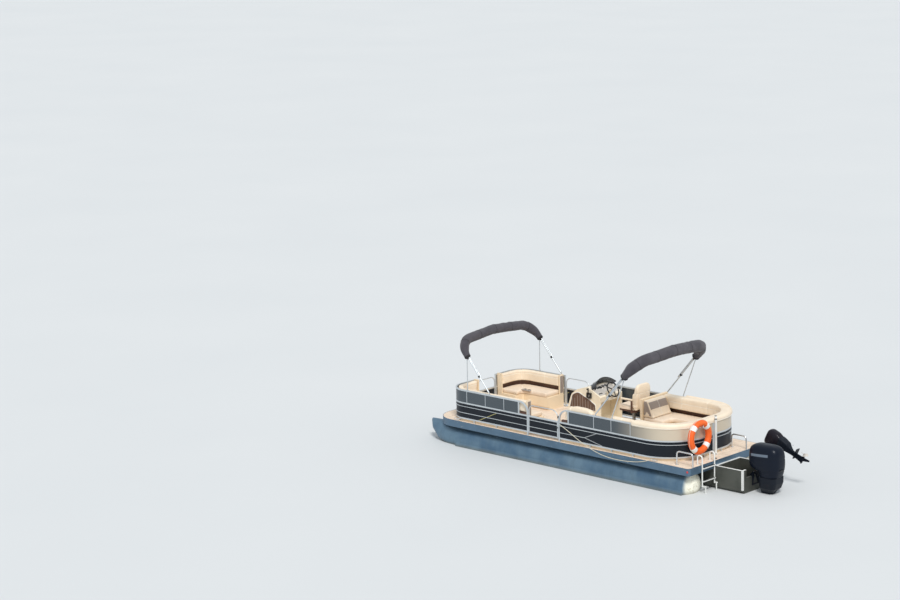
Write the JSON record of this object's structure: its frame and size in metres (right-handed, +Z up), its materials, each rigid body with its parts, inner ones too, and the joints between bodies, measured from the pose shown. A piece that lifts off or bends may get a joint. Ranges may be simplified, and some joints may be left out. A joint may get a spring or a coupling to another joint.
{
  "type": "pontoon boat",
  "caption": "Twin-tube pontoon boat with fenced deck, lounges, helm, two folded tops, boarding ladder and a tilting main and auxiliary outboard.",
  "frame": {"origin": "amidships on the centreline at the height of the still water", "axes": "+X forward to the bow, +Y to port, +Z up"},
  "size_m": [9.2859, 2.72, 3.445],
  "materials": {
    "hull_metal": "weathered",
    "frame_metal": "mill",
    "trim_metal": "satin",
    "rail_metal": "satin",
    "stainless": "polished",
    "white_metal": "gloss",
    "deck_carpet": "woven",
    "black_panel": "gloss",
    "cream_panel": "satin",
    "seat_shell": "satin",
    "dark_shell": "matte",
    "tan_vinyl": "soft",
    "cream_vinyl": "soft",
    "cream_gel": "gloss",
    "smoked_screen": "clear",
    "black_plastic": "satin",
    "boot_fabric": "woven",
    "motor_black": "satin",
    "motor_cowl": "gloss",
    "ring_orange": "satin",
    "rope_fibre": "twisted"
  },
  "bodies": {
    "hull": {"pontoon_port": "hull_metal", "pontoon_starboard": "hull_metal", "crossbeams": "frame_metal", "deck": "deck_carpet", "deck_trim": "trim_metal", "fence_bow_port": "rail_metal", "fence_bow_starboard": "rail_metal", "fence_port": "rail_metal", "fence_starboard": "rail_metal", "lower_skins": "black_panel", "upper_skins": "cream_panel", "bow_bases": "seat_shell", "bow_seats": "tan_vinyl", "bow_backs": "cream_vinyl", "stern_base": "seat_shell", "stern_seats": "tan_vinyl", "back_frames": "dark_shell", "stern_back": "cream_vinyl", "port_back": "cream_vinyl", "port_roll": "cream_vinyl", "console": "cream_gel", "windscreen": "smoked_screen", "engine_control": "black_plastic", "chair_column": "frame_metal", "top_mounts": "stainless", "engine_pod": "hull_metal", "main_bracket": "motor_black", "aux_board": "trim_metal", "aux_bracket": "motor_black", "ladder_upper": "stainless", "deck_fittings": "stainless", "ring_peg": "stainless", "life_ring": "ring_orange", "light_post": "white_metal", "deck_socket": "black_plastic", "rope": "rope_fibre"},
    "port_gate": {"gate_port": "rail_metal", "gate_skin_port": "black_panel"},
    "starboard_gate": {"gate_starboard": "rail_metal", "gate_skin_starboard": "black_panel"},
    "bow_gate": {"gate_bow": "rail_metal", "gate_skin_bow": "black_panel"},
    "helm_wheel": {"steering_wheel": "black_plastic"},
    "helm_chair": {"chair": "cream_vinyl"},
    "front_top": {"front_top_frame": "rail_metal", "front_top_cover": "boot_fabric"},
    "front_struts": {"front_top_struts": "rail_metal"},
    "rear_top": {"rear_top_frame": "rail_metal", "rear_top_cover": "boot_fabric"},
    "rear_struts": {"rear_top_struts": "rail_metal"},
    "main_tilt": {"main_swivel": "motor_black"},
    "main_motor": {"main_leg": "motor_black", "main_cowl": "motor_cowl"},
    "main_screw": {"main_propeller": "motor_black"},
    "aux_tilt": {"aux_swivel": "motor_black"},
    "aux_motor": {"aux_leg": "motor_black", "aux_cowl": "motor_cowl"},
    "aux_screw": {"aux_propeller": "motor_black"},
    "ladder": {"ladder_lower": "stainless"}
  },
  "joints": [
    {"name": "port_gate_hinge", "type": "hinge", "parent": "hull", "child": "port_gate", "pos_m": [0.816, 1.203, 0.85], "axis": [0, 0, 1], "range_deg": [0, 90]},
    {"name": "starboard_gate_hinge", "type": "hinge", "parent": "hull", "child": "starboard_gate", "pos_m": [1.846, -1.203, 0.85], "axis": [0, 0, -1], "range_deg": [0, 90]},
    {"name": "bow_gate_hinge", "type": "hinge", "parent": "hull", "child": "bow_gate", "pos_m": [3.209, -0.326, 0.85], "axis": [0, 0, 1], "range_deg": [0, 90]},
    {"name": "wheel_turn", "type": "hinge", "parent": "hull", "child": "helm_wheel", "pos_m": [0, -0.7, 1.38], "axis": [-0.866, 0, 0.5], "range_deg": [-540, 540]},
    {"name": "chair_swivel", "type": "hinge", "parent": "hull", "child": "helm_chair", "pos_m": [-0.64, -0.65, 1], "axis": [0, 0, 1], "continuous": true},
    {"name": "front_top_raise", "type": "hinge", "parent": "hull", "child": "front_top", "pos_m": [1.979, 0, 1.366], "axis": [0, -1, 0], "range_deg": [0, 40.5]},
    {"name": "front_struts_fold", "type": "hinge", "parent": "front_top", "child": "front_struts", "pos_m": [2.63613, 0, 2.07381], "axis": [0, 1, 0], "range_deg": [0, 38]},
    {"name": "rear_top_raise", "type": "hinge", "parent": "hull", "child": "rear_top", "pos_m": [-1.112, 0, 1.366], "axis": [0, 1, 0], "range_deg": [0, 41]},
    {"name": "rear_struts_fold", "type": "hinge", "parent": "rear_top", "child": "rear_struts", "pos_m": [-1.91634, 0, 2.23031], "axis": [0, -1, 0], "range_deg": [0, 19]},
    {"name": "main_motor_tilt", "type": "hinge", "parent": "hull", "child": "main_tilt", "pos_m": [-4.47, 0, 0.4], "axis": [0, 1, 0], "range_deg": [0, 65]},
    {"name": "main_motor_steer", "type": "hinge", "parent": "main_tilt", "child": "main_motor", "pos_m": [-4.59, 0, 0.26], "axis": [0, 0, 1], "range_deg": [-30, 30]},
    {"name": "main_screw_turn", "type": "hinge", "parent": "main_motor", "child": "main_screw", "pos_m": [-5.03, 0, -0.405], "axis": [1, 0, 0], "continuous": true},
    {"name": "aux_motor_tilt", "type": "hinge", "parent": "hull", "child": "aux_tilt", "pos_m": [-4.436, -0.765, 0.748], "axis": [0, 1, 0], "range_deg": [-65, 0]},
    {"name": "aux_motor_steer", "type": "hinge", "parent": "aux_tilt", "child": "aux_motor", "pos_m": [-4.5248, -0.765, 0.7728], "axis": [0.9063, 0, 0.4226], "range_deg": [-40, 40]},
    {"name": "aux_screw_turn", "type": "hinge", "parent": "aux_motor", "child": "aux_screw", "pos_m": [-5.15259, -0.765, 0.7228], "axis": [0.4226, 0, -0.9063], "continuous": true},
    {"name": "ladder_fold", "type": "hinge", "parent": "hull", "child": "ladder", "pos_m": [-3.79, 0.665, 0.15], "axis": [0, 1, 0], "range_deg": [0, 175]}
  ]
}
